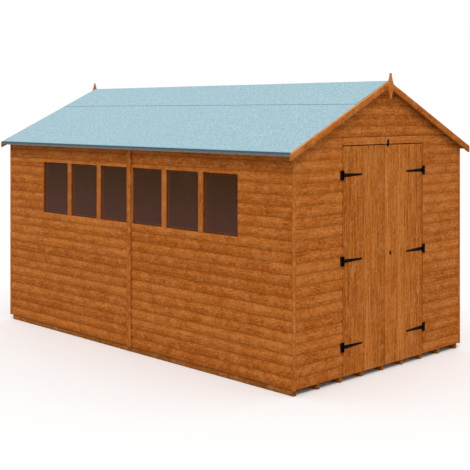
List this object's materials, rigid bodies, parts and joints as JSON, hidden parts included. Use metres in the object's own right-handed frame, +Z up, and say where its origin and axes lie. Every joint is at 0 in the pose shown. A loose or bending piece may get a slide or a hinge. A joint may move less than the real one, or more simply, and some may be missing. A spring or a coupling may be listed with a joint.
{
  "type": "garden shed",
  "caption": "Timber apex garden shed with log-lap walls, strap-hinged doors in the gable end, a row of fixed windows along one side and a felted roof.",
  "frame": {"origin": "on the ground under the joists, in the middle of the floor plan", "axes": "+Z up, +Y from the door gable to the back gable, so the doors face -Y and the windows face -X"},
  "size_m": [2.218, 3.802, 2.2841],
  "materials": {
    "wall_boards": "dip-treated orange-brown softwood, sawn and planed, matt",
    "door_boards": "dip-treated orange-brown softwood, planed, matt",
    "trim_timber": "dip-treated orange-brown softwood, planed, matt",
    "frame_timber": "dip-treated softwood, sawn, matt",
    "roof_felt": "pale blue-green mineral-surfaced roofing felt, rough",
    "glass": "clear, smooth",
    "black_iron": "black japanned, satin"
  },
  "bodies": {
    "shed": {"back_bargeboards": "trim_timber", "back_finial": "trim_timber", "back_wall": "wall_boards", "back_wall_frame": "frame_timber", "corner_strips": "trim_timber", "door_head_board": "trim_timber", "eaves_battens": "frame_timber", "floor_boards": "frame_timber", "floor_joists": "frame_timber", "front_bargeboards": "trim_timber", "front_finial": "trim_timber", "front_gable": "wall_boards", "front_wall_frame": "frame_timber", "front_wall_left": "wall_boards", "front_wall_right": "wall_boards", "left_cladding_above_windows": "wall_boards", "left_cladding_below_windows": "wall_boards", "left_cladding_beside_windows": "wall_boards", "left_cover_strip": "trim_timber", "left_hinge_plates": "black_iron", "left_roof_boards": "frame_timber", "left_roof_felt": "roof_felt", "left_wall_frame": "frame_timber", "ridge_felt": "roof_felt", "right_cladding": "wall_boards", "right_cover_strip": "trim_timber", "right_hinge_plates": "black_iron", "right_roof_boards": "frame_timber", "right_roof_felt": "roof_felt", "right_wall_frame": "frame_timber", "roof_purlins": "frame_timber", "roof_truss": "frame_timber", "window_beads": "trim_timber", "window_mullions": "trim_timber", "window_panes": "glass"},
    "left_door": {"left_door_boards": "door_boards", "left_door_ledges": "frame_timber", "left_hinge_straps": "black_iron"},
    "right_door": {"right_door_boards": "door_boards", "right_door_ledges": "frame_timber", "right_hinge_straps": "black_iron", "rim_lock": "black_iron", "right_door_stop": "black_iron"}
  },
  "joints": [
    {"name": "left_door_hinge", "type": "hinge", "parent": "shed", "child": "left_door", "pos_m": [-0.499, -1.841, 0.892], "axis": [0, 0, -1], "range_deg": [0, 160]},
    {"name": "right_door_hinge", "type": "hinge", "parent": "shed", "child": "right_door", "pos_m": [0.499, -1.841, 0.892], "axis": [0, 0, 1], "range_deg": [0, 160]}
  ]
}
